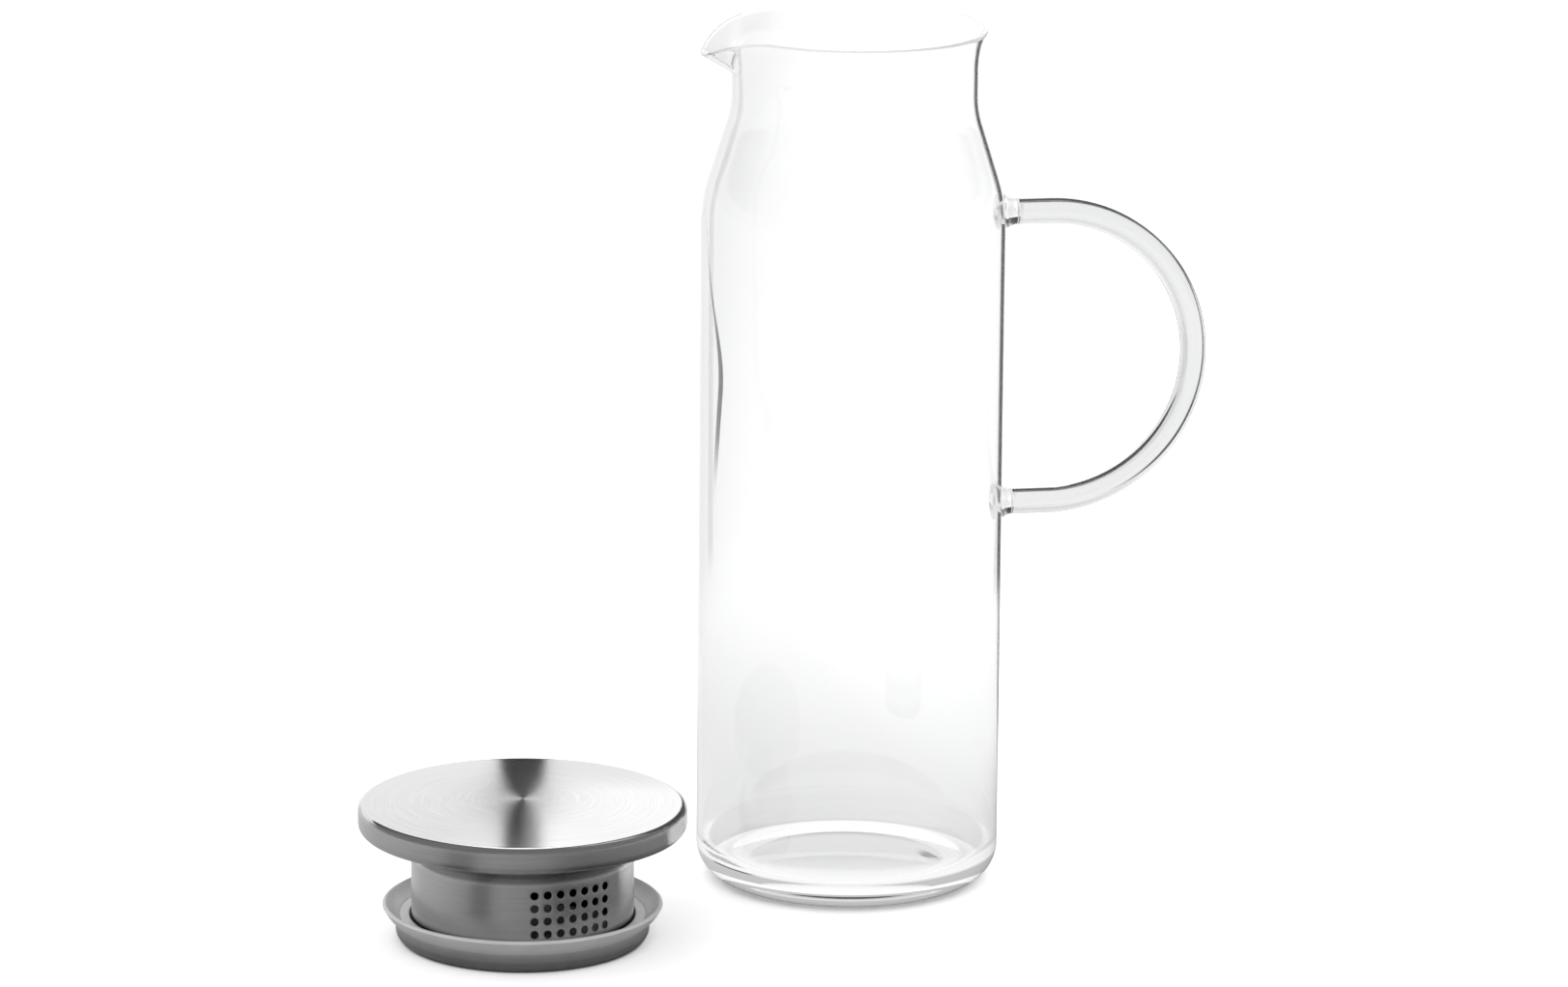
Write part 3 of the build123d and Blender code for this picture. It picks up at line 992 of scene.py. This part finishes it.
def backdrop_side(tree, place):
    """Tone of the floor to the left and right of the backdrop's edge, with the dark strip."""
    ahead = along(tree, place, AHEAD)
    right = along(tree, place, RIGHT)
    past = calculated(tree, "MAXIMUM", calculated(tree, "SUBTRACT", ahead, BACKDROP_CURVE_START), 0.0)
    bow = calculated(tree, "MULTIPLY", calculated(tree, "POWER", past, 2.0), BACKDROP_CURVE)
    inside = calculated(tree, "SUBTRACT", calculated(tree, "ADD", right, bow), BACKDROP_EDGE)
    strip_left = stepped(tree, inside, -STRIP_WIDTH - STRIP_SOFTNESS, -STRIP_WIDTH)
    strip_right = stepped(tree, inside, -STRIP_SOFTNESS, 0.0, 1.0, 0.0)
    in_strip = calculated(tree, "MULTIPLY", strip_left, strip_right)
    strength = calculated(tree, "MULTIPLY", in_strip, stepped(tree, ahead, STRIP_START, STRIP_FULL))
    return either(tree, strength, stepped(tree, right, *BACKDROP_GRADE, *BACKDROP_TONES), 0.0)


def floor_behind_glass(tree, path, place, glass_tone):
    """Tone of the floor as glass shows it: painted shade grey by the carafe, painted light white under it,
    and white far away.
    """
    distance = vector_calculated(tree, "LENGTH", place)
    # Painted shade: grey near the carafe, growing white away from it
    grade = stepped(tree, distance, *FLOOR_GRADE, *FLOOR_GRADE_TONES)
    sides = either(tree, stepped(tree, distance, *NEAR_FLOOR), NEAR_FLOOR_TONE, glass_tone)
    by_distance = calculated(tree, "MULTIPLY", grade, sides)
    graded = calculated(tree, "MULTIPLY", by_distance, backdrop_side(tree, place))
    mirrorings = stepped(tree, distance, *TWICE_MIRRORED, 0.5, 1.5)
    turned_inside = calculated(tree, "GREATER_THAN", path.outputs["Glossy Depth"], mirrorings)
    mirrored_tone = calculated(tree, "MULTIPLY", turned_inside, TWICE_MIRRORED_TONE)
    # Painted light on the floor under the carafe
    under = stepped(tree, distance, *UNDER_CARAFE, UNDER_CARAFE_TONE, 0.0)
    lifted = calculated(tree, "MAXIMUM", under, mirrored_tone)
    return calculated(tree, "MAXIMUM", lifted, graded)


def glowing(tree, strength):
    """Shader that gives light of a strength."""
    return add(tree, "ShaderNodeEmission", {"Strength": strength}).outputs[0]


def stage_floor():
    """Wide white floor that keeps the shadows; glass and metal show it in tones of their own."""
    mesh = bmesh.new()
    corners = ((-1, -1), (1, -1), (1, 1), (-1, 1))
    mesh.faces.new([mesh.verts.new((x * FLOOR_REACH, y * FLOOR_REACH, 0)) for x, y in corners])
    made = finished("floor", mesh)
    paint, tree, shader, place = new_material("floor_white")
    feed(tree, shader, {"Base Color": grey(FLOOR_COLOUR), "Roughness": 1, "Specular IOR Level": 0})
    plain = shader.outputs[0]
    path = add(tree, "ShaderNodeLightPath")
    glass_tone = toned(tree, azimuth_of(tree, place), GLASS_TONES)
    behind_glass = floor_behind_glass(tree, path, place, glass_tone)

    occlusion = add(tree, "ShaderNodeAmbientOcclusion", {"Distance": COVER_DISTANCE}, samples=8)
    uncovered = stepped(tree, occlusion.outputs["AO"], *COVERED_TO_OPEN)
    lid_place = vector_calculated(tree, "SUBTRACT", place, LID_CENTRE)
    from_lid = vector_calculated(tree, "LENGTH", lid_place)
    metal_tone = toned(tree, azimuth_of(tree, lid_place), METAL_TONES)
    near_lid = calculated(tree, "MULTIPLY", metal_tone, uncovered)
    mirrored = either(tree, stepped(tree, from_lid, *AROUND_LID), near_lid, glass_tone)

    shown = glowing(tree, calculated(tree, "MULTIPLY", uncovered, FLOOR_GLOW))
    lit = add(tree, "ShaderNodeAddShader", {0: plain, 1: shown}).outputs[0]
    look = mixed_shaders(tree, path.outputs["Is Camera Ray"], plain, lit)
    look = mixed_shaders(tree, path.outputs["Is Glossy Ray"], look, glowing(tree, mirrored))
    through_glass = calculated(tree, "GREATER_THAN", path.outputs["Transmission Depth"], 0.5)
    look = mixed_shaders(tree, through_glass, look, glowing(tree, behind_glass))
    tree.links.new(look, tree.nodes["Material Output"].inputs["Surface"])
    made.data.materials.append(paint)


def world_behind_glass(tree, path, azimuth, up, ahead):
    """Brightness of the world as glass shows it: white low down, dark high ahead."""
    overhead = stepped(tree, up, *GLASS_OVERHEAD, *GLASS_OVERHEAD_TONES)
    turned_inside = calculated(tree, "GREATER_THAN", path.outputs["Glossy Depth"], 1.5)
    high_ahead = either(tree, turned_inside, overhead, GLASS_OVERHEAD_TONES[1])
    high = either(tree, stepped(tree, ahead, *GLASS_BEHIND_TO_AHEAD), GLASS_BEHIND_TONE, high_ahead)
    return either(tree, stepped(tree, up, *GLASS_BACKDROP_TOP), toned(tree, azimuth, GLASS_TONES), high)


def world_in_metal(tree, direction, azimuth, up, ahead):
    """Brightness of the world as metal mirrors it: two lamps ahead, the gap between them and a high lamp."""
    across = along(tree, direction, LID_RIGHT)
    off_middle = calculated(tree, "ABSOLUTE", across)
    right_lamp = stepped(tree, up, *RIGHT_LAMP_RISE, *RIGHT_LAMP_TONES)
    lamps = either(tree, calculated(tree, "GREATER_THAN", across, 0.0), LEFT_LAMP_TONE, right_lamp)
    high_gap = stepped(tree, across, -0.4 * GAP_EDGE, 1.4 * GAP_EDGE, 0.0, GAP_HIGH_TONE)
    in_gap = either(tree, stepped(tree, up, *GAP_LOW_TO_HIGH), GAP_LOW_TONE, high_gap)
    beside_gap = stepped(tree, off_middle, GAP_EDGE - GAP_SOFTNESS, GAP_EDGE + GAP_SOFTNESS)
    on_disc = either(tree, beside_gap, in_gap, lamps)
    high_lamp = stepped(tree, off_middle, *HIGH_LAMP_SIDE, *HIGH_LAMP_TONES)
    lamps_ahead = either(tree, stepped(tree, up, *HIGH_LAMP_BOTTOM), on_disc, high_lamp)
    high = either(tree, stepped(tree, ahead, *HIGH_METAL_AHEAD), METAL_OVERHEAD_TONE, lamps_ahead)
    low = either(tree, stepped(tree, ahead, *LOW_METAL_AHEAD), toned(tree, azimuth, METAL_TONES), lamps_ahead)
    return either(tree, stepped(tree, up, *METAL_LOW_TO_HIGH), low, high)


def studio():
    """World like a white tent with dark gaps, seen differently by the camera, the glass and the metal."""
    world = bpy.data.worlds.new("studio")
    bpy.context.scene.world = world
    world.use_nodes = True
    tree = world.node_tree
    direction = add(tree, "ShaderNodeTexCoord").outputs["Generated"]
    azimuth = azimuth_of(tree, direction)
    up = height_of(tree, direction)
    ahead = along(tree, direction, AHEAD)
    path = add(tree, "ShaderNodeLightPath")
    matt_light = stepped(tree, along(tree, direction, MATT_SOURCE), *MATT_RANGE, *MATT_TONES)
    light = either(tree, path.outputs["Is Diffuse Ray"], 1.0, matt_light)
    metal_light = world_in_metal(tree, direction, azimuth, up, ahead)
    light = either(tree, path.outputs["Is Glossy Ray"], light, metal_light)
    through_glass = calculated(tree, "GREATER_THAN", path.outputs["Transmission Depth"], 0.5)
    light = either(tree, through_glass, light, world_behind_glass(tree, path, azimuth, up, ahead))
    feed(tree, tree.nodes["Background"], {"Strength": light, "Color": grey(1)})


# Scene

def dress(piece, body, nodes, material):
    """Gives a piece its material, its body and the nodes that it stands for."""
    piece.data.materials.append(material)
    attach(piece, body)
    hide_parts(*nodes)


glass = glass_material("clear_glass", 1.0)
tube_glass = glass_material("clear_tube_glass", 0.88)
steel = steel_material("brushed_steel_disc", 0.075, 0.012, 0.5, 0.72)
side_steel = steel_material("brushed_steel_sides", 0.24, 0.05, 0.5, 0.72)
# Painted light: the cup's steel is paler than the disc's, for the brighter light the strainer catches
cup_steel = steel_material("brushed_steel_cup", 0.24, 0.05, 0.58, 0.8)
# Painted shade: the inside of the cup and the holes' walls are steel painted nearly black, for the shade
# within the cup
shaded_inner_steel = steel_material("steel_inside_painted_shade", 0.5, 0.05, 0.03, 0.05)
silicone = silicone_material()

dress(vessel(), "carafe", ["vessel"], glass)
dress(handle_tube(), "carafe", ["handle_tube"], tube_glass)
upper_foot = handle_foot("handle_glass_upper_foot", UPPER_ARM_HEIGHT, UPPER_FOOT_LENGTH)
dress(upper_foot, "carafe", ["handle_upper_foot"], glass)
lower_foot = handle_foot("handle_glass_lower_foot", LOWER_ARM_HEIGHT, LOWER_FOOT_LENGTH)
dress(lower_foot, "carafe", ["handle_lower_foot"], glass)
disc = lid_cover()
dress(disc, "lid", ["lid_cover"], steel)
disc.data.materials.append(side_steel)
for face in disc.data.polygons:
    face.material_index = 0 if face.center.z > COVER_TOP - COVER_DOME - COVER_FACE_DEPTH else 1
cup = strainer()
dress(cup, "lid", ["strainer"], cup_steel)
# The cup's second material, the steel painted with shade, goes on faces sunk into the holes and inside the
# cup below the top's round
cup.data.materials.append(shaded_inner_steel)
for face in cup.data.polygons:
    sunk = (face.center - LID_CENTRE).xy.length < STRAINER_RADIUS - HOLE_SHADE_DEPTH
    face.material_index = 1 if sunk and face.center.z < STRAINER_TOP - STRAINER_CORNER_ROUND else 0
dress(gasket(), "seal_ring", ["gasket"], silicone)
for node in ("lid_underplate", "lid_collar"):
    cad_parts[node].data.materials.clear()
    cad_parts[node].data.materials.append(side_steel)

camera()
stage_floor()
studio()
bpy.context.scene.view_settings.view_transform = "Standard"
